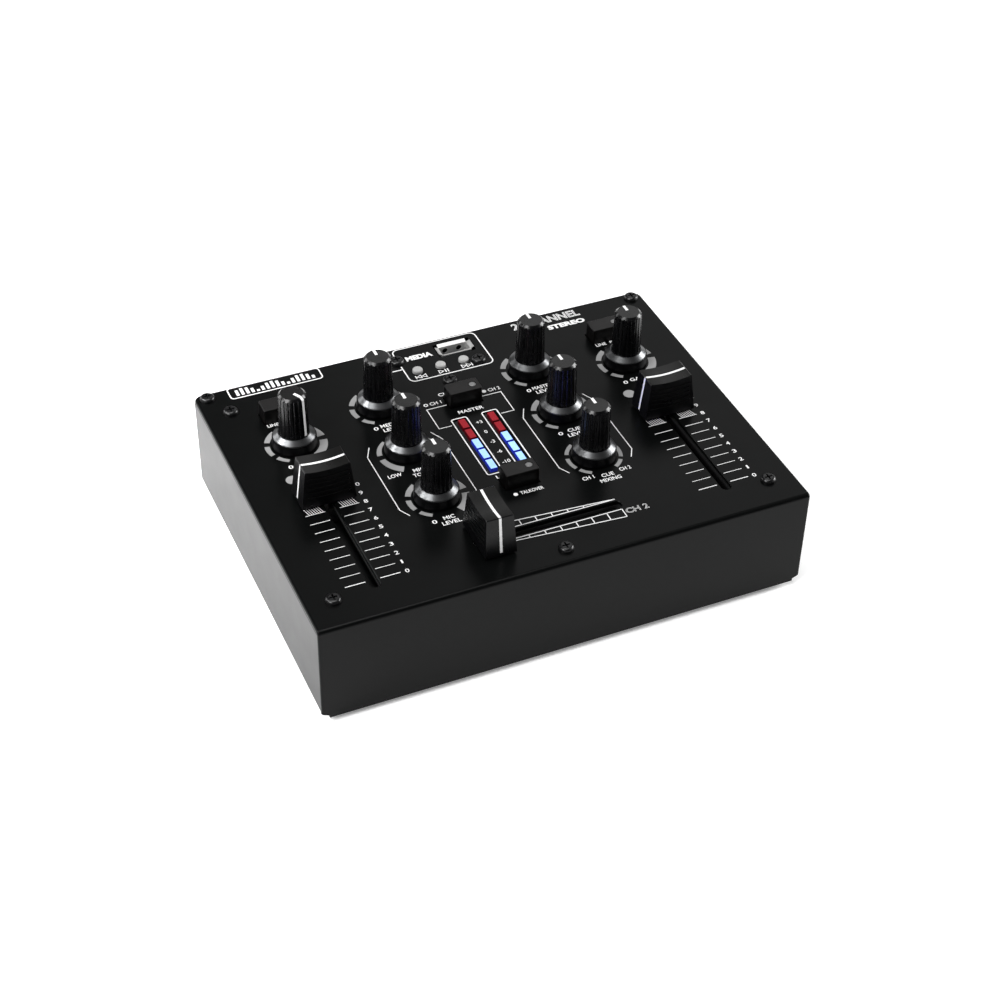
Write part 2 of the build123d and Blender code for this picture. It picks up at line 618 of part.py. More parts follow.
def make_switches():
    """Latching push switches: bodies on the board, caps through the top panel."""
    bodies = []
    body_top = UNDER_Z - SWITCH_TRAVEL - SWITCH_SKIRT
    stem_low = BOARD_Z + SHEET + SWITCH_TRAVEL
    for name, (x, y) in SWITCHES.items():
        body = slab(x, y, SWITCH_BODY_L, SWITCH_BODY_W, BOARD_Z, body_top)
        well = (SWITCH_STEM_L + 2 * SWITCH_STEM_GAP, SWITCH_STEM_W + 2 * SWITCH_STEM_GAP)
        bodies.append(body - slab(x, y, *well, BOARD_Z + SHEET - SWITCH_STEM_GAP, UNDER_Z))
        cap = slab(x, y, SWITCH_L, SWITCH_W, TOP_Z - SWITCH_SKIRT, TOP_Z + SWITCH_H)
        cap = fillet(cap.edges().filter_by(Axis.Z), SWITCH_CORNER)
        cap = fillet(cap.faces().sort_by(Axis.Z)[-1].edges(), SWITCH_EDGE)
        cap += slab(x, y, SWITCH_STEM_L, SWITCH_STEM_W, stem_low, TOP_Z)
        cap_top = TOP_Z + SWITCH_H
        cap -= post(x + LENS_OFFSET, y, LENS_R, cap_top - LENS_DEPTH, cap_top + OVERRUN)
        keep("switch_cap_" + name, cap)
    keep("switch_bodies", *bodies)


def make_buttons():
    """Domed player buttons over tact switches."""
    tacts = []
    flange_top = UNDER_Z - BUTTON_FLANGE_GAP
    tact_top = BOARD_Z + TACT_H + TACT_ACTUATOR_H
    for name, (x, y) in BUTTONS.items():
        tact = slab(x, y, TACT_SIZE, TACT_SIZE, BOARD_Z, BOARD_Z + TACT_H)
        tacts.append(tact + post(x, y, TACT_ACTUATOR_R, BOARD_Z, tact_top))
        button = post(x, y, BUTTON_R, flange_top, TOP_Z + BUTTON_H)
        button = fillet(button.edges().sort_by(Axis.Z)[-1], BUTTON_DOME)
        button += post(x, y, BUTTON_FLANGE_R, flange_top - BUTTON_FLANGE_T, flange_top)
        button += post(x, y, BUTTON_STEM_R, tact_top + BUTTON_TRAVEL + BUTTON_GAP, flange_top)
        keep("button_" + name, button)
    keep("tact_switches", *tacts)


def port_lip(length, across, turn):
    """One flared lip of the socket's mouth, rising outwards from the shell's edge."""
    edge = across / 2
    outline = Polyline((edge, -PORT_WALL), (edge + PORT_WALL, -PORT_WALL),
                       (edge + PORT_WALL + PORT_LIP, PORT_LIP_RISE - PORT_WALL),
                       (edge + PORT_WALL + PORT_LIP, PORT_LIP_RISE), (edge, 0), close=True)
    lip = extrude(Plane.XZ * make_face(outline), length / 2, both=True)
    return Rot(0, 0, turn) * lip


def make_port():
    """Upright player socket: folded metal shell with flared lips, and a moulded tongue inside."""
    x, y = PORT_X, REAR_Y - PORT_REAR
    mouth = TOP_Z - PORT_MOUTH_DROP
    floor = TOP_Z - PORT_DEPTH
    shell = slab(0, 0, PORT_W + 2 * PORT_WALL, PORT_H + 2 * PORT_WALL, floor, mouth)
    shell -= slab(0, 0, PORT_W, PORT_H, floor - OVERRUN, mouth + OVERRUN)
    for turn, length, across in ((0, PORT_H, PORT_W), (180, PORT_H, PORT_W), (90, PORT_W, PORT_H),
                                 (270, PORT_W, PORT_H)):
        shell += Pos(0, 0, mouth) * port_lip(length, across, turn)
    for side in (-1, 1):
        notch = Rot(90, 0, 0) * Cylinder(PORT_NOTCH_R, 2 * OVERRUN)
        shell -= Pos(side * PORT_W / 4, PORT_H / 2, mouth - PORT_NOTCH_DROP) * notch
    keep("port_shell", Pos(x, y, 0) * shell)
    base = slab(x, y, PORT_W, PORT_H, BOARD_Z, floor + PORT_BASE)
    tongue = slab(x, y - TONGUE_OFFSET, TONGUE_W, TONGUE_T, floor, TOP_Z - TONGUE_TOP)
    keep("port_tongue", base + tongue)


def meter_centres():
    """Middle of each light bar, from the rear."""
    half = (METER_STEPS - 1) / 2
    return [METER_MID_Y + (half - i) * METER_PITCH for i in range(METER_STEPS)]


def make_meter():
    """Two columns of light bars standing on carriers in the meter windows."""
    carriers, reds, blues = [], [], []
    seat = TOP_Z - METER_CARRIER_DROP - LED_BODY / 2
    for side in (-1, 1):
        x = side * METER_X
        size = (METER_W - 2 * METER_CARRIER_GAP, METER_LENGTH - 2 * METER_CARRIER_GAP)
        carrier = slab(x, METER_MID_Y, *size, BOARD_Z, TOP_Z - METER_CARRIER_DROP)
        for i, y in enumerate(meter_centres()):
            carrier -= slab(x, y, LED_W, LED_L, seat, TOP_Z)
            light = slab(x, y, LED_W, LED_L, seat, TOP_Z + LED_PROUD)
            light = fillet(light.faces().sort_by(Axis.Z)[-1].edges(), LED_EDGE)
            (reds if i < RED_STEPS else blues).append(light)
        carriers.append(carrier)
    keep("meter_carriers", *carriers)
    keep("meter_lights_red", *reds)
    keep("meter_lights_blue", *blues)


def phono_places():
    """X and Z of every phono socket, lower row first."""
    rows = (FOOT_HEIGHT + PHONO_LOW, FOOT_HEIGHT + PHONO_LOW + PHONO_PITCH)
    return [(x, z) for z in rows for x in PHONO_X]


def make_phono():
    """Stacked pairs of phono sockets: moulded blocks, metal barrels and coloured rings."""
    inner = REAR_FACE - SHEET
    lower = FOOT_HEIGHT + PHONO_LOW
    half = PHONO_BLOCK_W / 2
    blocks = []
    for x in PHONO_X:
        body = block(x - half, x + half, inner - PHONO_BLOCK_DEPTH, inner, FLOOR_Z + 2 * SHEET,
                     lower + PHONO_PITCH + half)
        for z in (lower, lower + PHONO_PITCH):
            body -= bar(x, z, BARREL_R, inner - PHONO_BLOCK_DEPTH / 2, REAR_Y)
        blocks.append(body)
    keep("phono_blocks", *blocks)
    back = inner - PHONO_BLOCK_DEPTH / 2
    front = REAR_FACE + BARREL_OUT
    metal, white, red = [], [], []
    for i, (x, z) in enumerate(phono_places()):
        well = (back + BARREL_BACK, front + OVERRUN)
        barrel = bar(x, z, BARREL_R, back, front) - bar(x, z, BARREL_BORE_R, *well)
        barrel += bar(x, z, CONTACT_R, back, front - BARREL_OUT / 2)
        metal.append(barrel - bar(x, z, CONTACT_BORE_R, *well))
        ring = bar(x, z, RING_R, inner, REAR_FACE + RING_OUT)
        ring -= bar(x, z, BARREL_R + RING_FIT, inner - OVERRUN, front)
        (red if i < len(PHONO_X) else white).append(ring)
    keep("phono_barrels", *metal)
    keep("phono_rings_red", *red)
    keep("phono_rings_white", *white)


def knurled(radius, height, flutes):
    """Disc with flutes round its edge, about the origin."""
    cut = Pos(radius + KNURL_R - KNURL_DEPTH, 0, 0) * Cylinder(KNURL_R, height + 2 * OVERRUN)
    return Cylinder(radius, height) - [Rot(0, 0, i * 360 / flutes) * cut for i in range(flutes)]


def make_jacks():
    """Two 6.3 mm sockets with knurled nuts outside the rear panel."""
    z = FOOT_HEIGHT + CONNECTOR_Z
    inner = REAR_FACE - SHEET
    half = JACK_BODY / 2
    solids = []
    for x in JACK_X:
        body = block(x - half, x + half, inner - JACK_DEPTH, inner, z - half, z + half)
        body += bar(x, z, JACK_BUSH_R, inner, REAR_FACE + JACK_OUT)
        bore_back = inner - JACK_DEPTH + JACK_BACK
        solids.append(body - bar(x, z, JACK_BORE_R, bore_back, REAR_Y + JACK_OUT + OVERRUN))
        nut = knurled(NUT_R, NUT_T, NUT_FLUTES) - Cylinder(JACK_BUSH_R, 2 * NUT_T)
        solids.append(Pos(x, REAR_FACE + NUT_T / 2, z) * Rot(90, 0, 0) * nut)
    keep("jack_sockets", *solids)


def make_inlet():
    """Low-voltage DC inlet with its centre pin."""
    z = FOOT_HEIGHT + CONNECTOR_Z
    inner = REAR_FACE - SHEET
    body = block(INLET_X - INLET_W / 2, INLET_X + INLET_W / 2, inner - INLET_DEPTH, REAR_FACE + INLET_OUT,
                 z - INLET_H / 2, z + INLET_H / 2)
    well_back = inner - INLET_DEPTH + INLET_BACK
    body -= bar(INLET_X, z, INLET_BORE_R, well_back, REAR_Y + INLET_OUT + OVERRUN)
    body += bar(INLET_X, z, INLET_PIN_R, well_back - OVERRUN, REAR_FACE)
    keep("dc_inlet", body)


def make_posts():
    """Knurled ground posts."""
    z = FOOT_HEIGHT + CONNECTOR_Z
    posts = []
    head = knurled(POST_R, POST_HEAD_T, POST_FLUTES)
    tip = REAR_FACE + POST_NECK + POST_HEAD_T + POST_TIP
    for x in POST_X:
        terminal = bar(x, z, POST_STUD_R, REAR_FACE - SHEET - POST_HEAD_T, tip)
        terminal += Pos(x, REAR_FACE + POST_NECK + POST_HEAD_T / 2, z) * Rot(90, 0, 0) * head
        terminal += bar(x, z, POST_R, REAR_FACE - SHEET - POST_NECK, REAR_FACE - SHEET)
        posts.append(terminal)
    keep("ground_posts", *posts)


def write_parts():
    """One STEP file for each node."""
    os.makedirs("parts", exist_ok=True)
    for name, solids in PIECES.items():
        shape = solids[0] if len(solids) == 1 else Compound(children=solids)
        export_step(shape, os.path.join("parts", name + ".step"))


make_top_panel()
make_base_tray()
make_rear_panel()
make_board()
make_spacers()
make_screws()
make_feet()
make_pots()
make_knobs()
make_fader_frames()
make_faders()
make_switches()
make_buttons()
make_port()
make_meter()
make_phono()
make_jacks()
make_inlet()
make_posts()
write_parts()
print(len(PIECES), "nodes")
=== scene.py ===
import json
import math

import bmesh
import bpy
from mathutils import Matrix, Vector
from mathutils.bvhtree import BVHTree


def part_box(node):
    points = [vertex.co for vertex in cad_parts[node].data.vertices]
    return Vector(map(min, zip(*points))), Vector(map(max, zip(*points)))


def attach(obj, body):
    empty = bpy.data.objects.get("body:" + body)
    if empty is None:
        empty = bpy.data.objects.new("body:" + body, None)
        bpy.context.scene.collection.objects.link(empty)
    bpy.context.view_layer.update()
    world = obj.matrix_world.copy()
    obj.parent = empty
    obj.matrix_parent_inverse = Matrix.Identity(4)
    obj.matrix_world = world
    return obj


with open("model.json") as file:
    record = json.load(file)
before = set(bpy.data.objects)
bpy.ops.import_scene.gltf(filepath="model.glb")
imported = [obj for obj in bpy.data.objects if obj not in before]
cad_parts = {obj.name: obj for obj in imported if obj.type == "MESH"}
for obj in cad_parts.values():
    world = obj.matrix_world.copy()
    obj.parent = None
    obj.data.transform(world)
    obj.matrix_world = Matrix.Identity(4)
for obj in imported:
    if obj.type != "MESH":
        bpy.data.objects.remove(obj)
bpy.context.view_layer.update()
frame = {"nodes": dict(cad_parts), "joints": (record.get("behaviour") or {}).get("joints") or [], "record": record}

# Two-channel tabletop mixer: finishes, printed graphics, pointer lines, lenses, stage, light and camera.
# Sizes below are in millimetres. Places on the top panel are measured from the middle of its face.
MM = 0.001
INK = 0.04                  # thickness of the printed ink
LINE = 0.36                 # printed line width
THIN_LINE = 0.26            # width of a scale tick
SWEEP = 300.0               # turn of a rotary control, in degrees
LETTER = 2.0                # height of the small capitals
SMALL_LETTER = 1.8
FRAME_LINE = 0.5            # line width of the frames and the badge
CORNER_STEPS = 5            # facets of a frame's rounded corner

record = frame["record"]
joints = {joint["name"]: joint for joint in frame["joints"]}
slot_of = {part["node"]: part["material_slot"] for part in record["subparts"]}
panel_low, panel_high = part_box("top_panel")
PANEL_MID = (panel_low + panel_high) / 2 / MM
PANEL_Z = panel_high.z / MM


# ---- Places taken from the frame ----
def middle(node):
    """Middle of a CAD node's box, in millimetres."""
    low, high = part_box(node)
    return (low + high) / 2 / MM


def on_panel(x, y):
    """Point of the frame, in millimetres, from a place measured from the panel's middle."""
    return x + PANEL_MID.x, y + PANEL_MID.y


def rest_turn(name):
    """Degrees clockwise from twelve o'clock at which a rotary control stands at rest."""
    return joints["turn_" + name]["range_deg"][1] - SWEEP / 2


def fader_span(name):
    """Cap middles at the two ends of a fader's travel, in millimetres."""
    joint = joints["slide_" + name]
    centre = middle("cap_" + name)
    along = Vector(joint["axis"])
    return [centre + along * reach / MM for reach in joint["range_m"]]


# ---- Mesh helpers: outlines in millimetres, closed thin solids ----
class Sheet:
    """Collects flat closed shapes of one thickness and turns them into one piece."""

    def __init__(self, base=PANEL_Z, thick=INK):
        self.mesh = bmesh.new()
        self.base = base
        self.thick = thick

    def _ring(self, points, height):
        return [self.mesh.verts.new((x * MM, y * MM, height * MM)) for x, y in points]

    def plate(self, outline):
        """Filled shape inside one outline, given anticlockwise."""
        low = self._ring(outline, self.base)
        high = self._ring(outline, self.base + self.thick)
        self.mesh.faces.new(high)
        self.mesh.faces.new(low[::-1])
        for i in range(len(low)):
            j = (i + 1) % len(low)
            self.mesh.faces.new((low[i], low[j], high[j], high[i]))

    def band(self, right, left, closed=False):
        """Strip between two lines with the same number of points, left on the left of the way along."""
        top = self.base + self.thick
        rails = [self._ring(right, self.base), self._ring(right, top),
                 self._ring(left, top), self._ring(left, self.base)]
        count = len(right)
        for i in range(count if closed else count - 1):
            j = (i + 1) % count
            for a, b in zip(rails, rails[1:] + rails[:1]):
                self.mesh.faces.new((a[i], a[j], b[j], b[i]))
        if not closed:
            self.mesh.faces.new([rail[0] for rail in rails])
            self.mesh.faces.new([rail[-1] for rail in rails[::-1]])

    def stroke(self, points, width=LINE, closed=False):
        """Line of even width along some points, with mitred corners."""
        path = [Vector(p) for p in points]
        sides = []
        for i, here in enumerate(path):
            before = path[i - 1] if (closed or i) else here
            after = path[(i + 1) % len(path)] if (closed or i < len(path) - 1) else here
            first = (here - before).normalized() if here != before else (after - here).normalized()
            second = (after - here).normalized() if after != here else first
            normal = Vector((-(first.y + second.y), first.x + second.x)).normalized()
            reach = width / 2 / max(0.4, normal.dot(Vector((-first.y, first.x))))
            sides.append((here - normal * reach, here + normal * reach))
        self.band([s[0] for s in sides], [s[1] for s in sides], closed)

    def disc(self, centre, radius):
        self.plate(round_about(centre, radius))

    def ring(self, centre, inner, outer):
        self.band(round_about(centre, outer), round_about(centre, inner), closed=True)

    def lettering(self, text, centre, height=LETTER, width=None, weight=0.01, outline=0.0):
        """Capitals fitted to a height, and to a width if one is given, about their centre."""
        curve = bpy.data.curves.new("lettering", "FONT")
        curve.body = text
        curve.resolution_u = 3
        curve.offset = weight
        if outline:
            curve.fill_mode = "NONE"
            curve.bevel_depth = outline
            curve.bevel_resolution = 1
        else:
            curve.extrude = 0.5
            curve.fill_mode = "BOTH"
        holder = bpy.data.objects.new("lettering", curve)
        made = bpy.data.meshes.new_from_object(holder)
        part = bmesh.new()
        part.from_mesh(made)
        bmesh.ops.remove_doubles(part, verts=part.verts, dist=1e-5)
        spans = [(min(v.co[k] for v in part.verts), max(v.co[k] for v in part.verts)) for k in range(3)]
        sizes = [high - low for low, high in spans]
        mids = [(low + high) / 2 for low, high in spans]
        across = height / sizes[1]
        along = across if width is None else width / sizes[0]
        place = Matrix.Translation(Vector((*centre, self.base + self.thick / 2)) * MM)
        scale = Matrix.Diagonal((along * MM, across * MM, self.thick / sizes[2] * MM, 1))
        part.transform(place @ scale @ Matrix.Translation(-Vector(mids)))
        part.to_mesh(made)
        part.free()
        self.mesh.from_mesh(made)
        bpy.data.meshes.remove(made)
        bpy.data.objects.remove(holder)
        bpy.data.curves.remove(curve)

    def piece(self, name, slot, body="case", move=None):
        """One named piece from everything drawn so far."""
        if move is not None:
            self.mesh.transform(move)
        keep_mesh(name, self.mesh, slot, body)


def keep_mesh(name, mesh, slot, body):
    """Turn a bmesh into a piece with its finish, riding on a body."""
    bmesh.ops.recalc_face_normals(mesh, faces=mesh.faces)
    data = bpy.data.meshes.new(name)
    mesh.to_mesh(data)
    mesh.free()
    piece = bpy.data.objects.new(name, data)
    bpy.context.scene.collection.objects.link(piece)
    data.materials.append(finishes[slot])
    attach(piece, body)


def fan(first, last, steps):
    """Evenly spaced values from first to last."""
    return [first + (last - first) * i / steps for i in range(steps + 1)]


def polar(centre, radius, turn):
    """Point at a clockwise turn from twelve o'clock, in degrees."""
    angle = math.radians(turn)
    return centre[0] + radius * math.sin(angle), centre[1] + radius * math.cos(angle)


def round_about(centre, radius, steps=32):
    """Points round a circle, anticlockwise."""
    return [polar(centre, radius, -360 * i / steps) for i in range(steps)]


def rounded_box(x0, x1, y0, y1, radius, steps=CORNER_STEPS):
    """Outline of a box with rounded corners, anticlockwise from the near right corner."""
    points = []
    for (x, y), start in zip(((x1, y0), (x1, y1), (x0, y1), (x0, y0)), (180, 90, 0, -90)):
        inward = (x - radius if x == x1 else x + radius, y - radius if y == y1 else y + radius)
        points += [polar(inward, radius, start - 90 * i / steps) for i in range(steps + 1)]
    return points


def arc_band(sheet, centre, start, end, inner, outer_start, outer_end):
    """Part of a ring between two turns whose outer radius grows steadily."""
    steps = max(4, round((end - start) / 4))
    turns = fan(start, end, steps)
    outer = [polar(centre, radius, turn) for radius, turn in zip(fan(outer_start, outer_end, steps), turns)]
    sheet.band([polar(centre, inner, turn) for turn in turns], outer)


STEEPEST = 0.2              # least cosine used for a ray's start, so that steep rays start near the skin


def skin_line(name, node, centre, heading, angles, width, body, clear, proud=0.03, sunk=0.12):
    """White line that follows a CAD node's skin in the upright plane through centre along heading.

    centre is in millimetres, heading is a unit vector and angles are measured up from heading, in degrees.
    The skin is met from outside, from clear millimetres out along heading."""
    data = frame["nodes"][node].data
    skin = BVHTree.FromPolygons([v.co for v in data.vertices], [p.vertices for p in data.polygons])
    across = heading.cross(Vector((0, 0, 1)))
    mesh = bmesh.new()
    before = None
    for angle in angles:
        out = heading * math.cos(math.radians(angle)) + Vector((0, 0, math.sin(math.radians(angle))))
        far = clear / max(abs(math.cos(math.radians(angle))), STEEPEST)
        hit = skin.ray_cast((centre + out * far) * MM, -out)[0]
        rim = [mesh.verts.new(hit + out * lift * MM + across * side * width / 2 * MM)
               for lift, side in ((-sunk, -1), (proud, -1), (proud, 1), (-sunk, 1))]
        if before is None:
            mesh.faces.new(rim)
        else:
            for i in range(4):
                mesh.faces.new((before[i], before[i - 3], rim[i - 3], rim[i]))
        before = rim
    mesh.faces.new(before[::-1])
    keep_mesh(name, mesh, "print_white", body)


# ---- Finishes ----
class Finish:
    """A Principled material whose detail is added node by node, in object space."""

    def __init__(self, slot, colour, roughness, metallic=0.0, **constants):
        self.material = bpy.data.materials.new(slot)
        self.material.use_nodes = True
        self.nodes = self.material.node_tree.nodes
        self.links = self.material.node_tree.links
        self.shader = self.nodes["Principled BSDF"]
        self.shader.inputs["Base Color"].default_value = (*colour, 1)
        self.shader.inputs["Roughness"].default_value = roughness
        self.shader.inputs["Metallic"].default_value = metallic
        for socket, value in constants.items():
            self.shader.inputs[socket.replace("_", " ")].default_value = value
        self.place = self.nodes.new("ShaderNodeTexCoord")
        finishes[slot] = self.material

    def grain(self, size, detail=2.0, stretch=(1, 1, 1)):
        """Noise whose features are about size millimetres across."""
        scale = self.nodes.new("ShaderNodeMapping")
        scale.inputs["Scale"].default_value = stretch
        self.links.new(self.place.outputs["Object"], scale.inputs["Vector"])
        noise = self.nodes.new("ShaderNodeTexNoise")
        noise.inputs["Scale"].default_value = 1 / (size * MM)
        noise.inputs["Detail"].default_value = detail
        self.links.new(scale.outputs["Vector"], noise.inputs["Vector"])
        return noise.outputs["Fac"]

    def ramp(self, source, low, high, from_low=0.3, from_high=0.7):
        """Source spread between two values."""
        spread = self.nodes.new("ShaderNodeMapRange")
        self.links.new(source, spread.inputs["Value"])
        ends = {"From Min": from_low, "From Max": from_high, "To Min": low, "To Max": high}
        for socket, value in ends.items():
            spread.inputs[socket].default_value = value
        return spread.outputs["Result"]

    def blend(self, share, first, second):
        """Base colour between two colours."""
        mix = self.nodes.new("ShaderNodeMix")
        mix.data_type = "RGBA"
        self.links.new(share, mix.inputs["Factor"])
        mix.inputs["A"].default_value = (*first, 1)
        mix.inputs["B"].default_value = (*second, 1)
        self.links.new(mix.outputs["Result"], self.shader.inputs["Base Color"])
        return mix.outputs["Result"]

    def rough(self, source, low, high):
        self.links.new(self.ramp(source, low, high), self.shader.inputs["Roughness"])

    def bump(self, source, depth):
        """Relief of depth millimetres."""
        relief = self.nodes.new("ShaderNodeBump")
        relief.inputs["Distance"].default_value = depth * MM
        relief.inputs["Strength"].default_value = 1.0
        self.links.new(source, relief.inputs["Height"])
        self.links.new(relief.outputs["Normal"], self.shader.inputs["Normal"])

    def times(self, first, second):
        """Product of two sockets."""
        product = self.nodes.new("ShaderNodeMath")
        product.operation = "MULTIPLY"
        self.links.new(first, product.inputs[0])
        self.links.new(second, product.inputs[1])
        return product.outputs["Value"]

    def height(self):
        """Height in the row's frame, in metres, on a CAD node."""
        split = self.nodes.new("ShaderNodeSeparateXYZ")
        self.links.new(self.place.outputs["Object"], split.inputs["Vector"])
        return split.outputs["Z"]

    def facing_up(self):
        """1 on faces that look straight up in the row's frame and 0 on upright ones."""
        geometry = self.nodes.new("ShaderNodeNewGeometry")
        split = self.nodes.new("ShaderNodeSeparateXYZ")
        self.links.new(geometry.outputs["True Normal"], split.inputs["Vector"])
        return split.outputs["Z"]


finishes = {}


def grained(slot, colour, roughness, size, depth, vary=0.15, metallic=0.0, **constants):
    """Finish with a fine relief, cloudy roughness and a slight shift of tone."""
    finish = Finish(slot, colour, roughness, metallic, **constants)
    fine = finish.grain(size, detail=3.0)
    cloud = finish.grain(size * 40, detail=2.0)
    finish.bump(fine, depth)
    finish.rough(cloud, roughness * (1 - vary), roughness * (1 + vary))
    finish.blend(finish.ramp(fine, 0, 1), [c * (1 - vary) for c in colour], [c * (1 + vary) for c in colour])


SKIRT_DULL = 1.5            # how much rougher a knob's skirt is than its grip
SKIRT_GLOSS = 0.15          # specular level of the skirt
GRIP_GLOSS = 0.5


def handled(slot, colour, painted_sheen, roughness, depth, skirt_top=None, **constants):
    """Black moulding with a painted highlight: its upward faces are painted a paler colour; duller below
    skirt_top, in metres.
    """
    finish = Finish(slot, colour, roughness, **constants)
    fine = finish.grain(0.2, detail=3.0)
    satin = finish.ramp(finish.grain(5.0), roughness * 0.9, roughness * 1.15)
    finish.bump(fine, depth)
    # Painted highlight: upward faces are blended towards the second, paler colour, standing in for the light that
    # falls on them.
    share = finish.times(finish.ramp(finish.facing_up(), 0, 1, 0.6, 0.95), finish.ramp(fine, 0.8, 1))
    finish.blend(share, colour, painted_sheen)
    if skirt_top is not None:
        step = (skirt_top, skirt_top + 0.2 * MM)
        satin = finish.times(satin, finish.ramp(finish.height(), SKIRT_DULL, 1, *step))
        gloss = finish.ramp(finish.height(), SKIRT_GLOSS, GRIP_GLOSS, *step)
        finish.links.new(gloss, finish.shader.inputs["Specular IOR Level"])
    finish.links.new(satin, finish.shader.inputs["Roughness"])


def make_paint():
    grained("case_paint", (0.0015, 0.0017, 0.0017), 0.3, 0.22, 0.001, vary=0.03, IOR=1.2)
    grained("black_screw", (0.005, 0.005, 0.0055), 0.3, 0.15, 0.004, metallic=0.2)


def make_plastics():
    skirt_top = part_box("collar_gain_1")[0].z
    # The second colour of each moulding is a painted highlight for its upward faces.
    handled("knob_black", (0.0008, 0.0008, 0.0012), (0.0015, 0.0015, 0.0015), 0.25, 0.00015,
            skirt_top, IOR=1.42)
    handled("cap_black", (0.0012, 0.0012, 0.0016), (0.0065, 0.0065, 0.0063), 0.3, 0.0002, IOR=1.31)
    handled("switch_black", (0.0018, 0.0016, 0.0016), (0.011, 0.0105, 0.0105), 0.32, 0.001, IOR=1.27)
    grained("track_black", (0.012, 0.012, 0.0125), 0.5, 0.2, 0.01)
    grained("black_plastic", (0.012, 0.012, 0.0125), 0.5, 0.2, 0.01)
    grained("button_grey", (0.36, 0.36, 0.355), 0.6, 0.2, 0.004, vary=0.05)
    grained("meter_black", (0.006, 0.006, 0.007), 0.5, 0.2, 0.01)
    grained("ring_red", (0.55, 0.02, 0.02), 0.3, 0.2, 0.005, vary=0.08)
    grained("ring_white", (0.8, 0.8, 0.78), 0.3, 0.2, 0.005, vary=0.04)
    grained("lens_grey", (0.16, 0.16, 0.16), 0.3, 0.3, 0.004, vary=0.06)
    grained("foot_rubber", (0.02, 0.02, 0.02), 0.75, 0.35, 0.03)


def make_metals():
    grained("plated_steel", (0.7, 0.7, 0.69), 0.42, 0.3, 0.003, vary=0.1, metallic=0.75)
    grained("socket_metal", (0.75, 0.74, 0.71), 0.2, 0.3, 0.004, vary=0.1, metallic=1.0)
    grained("shaft_metal", (0.68, 0.68, 0.68), 0.3, 0.2, 0.005, vary=0.1, metallic=1.0)
    lever = Finish("lever_metal", (0.5, 0.5, 0.5), 0.32, 1.0)
    brushed = lever.grain(0.2, stretch=(1, 1, 0.05))
    lever.bump(brushed, 0.006)
    lever.rough(brushed, 0.26, 0.4)
    collar = Finish("collar_silver", (0.11, 0.112, 0.115), 0.32, 1.0)
    turned = collar.grain(0.12, detail=4.0, stretch=(0.35, 0.35, 3))
    collar.bump(turned, 0.003)
    collar.rough(turned, 0.27, 0.35)


def make_inks():
    grained("print_white", (0.8, 0.8, 0.8), 0.5, 0.12, 0.004, vary=0.04)
    grained("print_grey", (0.25, 0.25, 0.25), 0.5, 0.12, 0.004, vary=0.05)


def make_board():
    board = Finish("board", (0.02, 0.1, 0.05), 0.35)
    weave = board.grain(0.6, detail=1.0, stretch=(1, 0.2, 1))
    tracks = board.grain(2.5, detail=0.0)
    board.blend(board.ramp(tracks, 0, 1, 0.48, 0.5), (0.012, 0.07, 0.035), (0.03, 0.14, 0.06))
    board.bump(weave, 0.01)


def make_light(slot, side, top, strength):
    """Lit diffusing plastic: pale where it is seen from above, deeper in colour on its sides."""
    light = Finish(slot, side, 0.45, IOR=1.25)
    lit = light.blend(light.ramp(light.facing_up(), 0, 1, 0.8, 1.0), side, top)
    light.links.new(lit, light.shader.inputs["Emission Color"])
    light.shader.inputs["Emission Strength"].default_value = strength
    light.bump(light.grain(0.25), 0.01)


def make_finishes():
    make_paint()
    make_plastics()
    make_metals()
    make_inks()
    make_board()
    make_light("light_red", (0.05, 0.001, 0.003), (0.22, 0.01, 0.016), 0.45)
    make_light("light_blue", (0.01, 0.02, 0.3), (0.3, 0.5, 0.95), 0.5)


def dress_frame():
    """Give every CAD node its finish."""
    for name, node in frame["nodes"].items():
        node.data.materials.clear()
        node.data.materials.append(finishes[slot_of[name]])


# ---- Printed scales round the rotary controls ----
SCALE_IN = 9.8
SCALE_OUT = 11.5
SCALE_GROWN = 13.2
SCALE_GAP = 12.6
FIRST_ARC = 27.0
ARC_STEP = 5.0
ARCS = 6
GROWING = ("gain_1", "gain_2", "player_level", "mic_level", "master_level", "cue_level")
TONE_ARCS = ((37, 85), (99, 153))
MIX_ARCS = ((30, 66), (79, 115), (124, 151))


def growing_scale(sheet, centre):
    """Six arcs that lengthen and thicken clockwise."""
    start = -SWEEP / 2
    for i in range(ARCS):
        length = FIRST_ARC + ARC_STEP * i
        radii = [SCALE_OUT + (SCALE_GROWN - SCALE_OUT) * (turn + SWEEP / 2) / SWEEP
                 for turn in (start, start + length)]
        arc_band(sheet, centre, start, start + length, SCALE_IN, *radii)
        start += length + SCALE_GAP


def mirrored_scale(sheet, centre, arcs, out_top, out_end):
    """Arcs on both sides of twelve o'clock; their outer radius goes from out_top to out_end."""
    def out(turn):
        return out_top + (out_end - out_top) * turn / (SWEEP / 2)
    for start, end in arcs:
        arc_band(sheet, centre, start, end, SCALE_IN, out(start), out(end))
        arc_band(sheet, centre, -end, -start, SCALE_IN, out(end), out(start))


def print_scales():
    sheet = Sheet()
    for name in GROWING:
        growing_scale(sheet, middle("collar_" + name)[:2])
    mirrored_scale(sheet, middle("collar_mic_tone")[:2], TONE_ARCS, 10.6, 13.0)
    mirrored_scale(sheet, middle("collar_cue_mix")[:2], MIX_ARCS, 11.4, 11.4)
    sheet.piece("knob_scales", "print_grey")


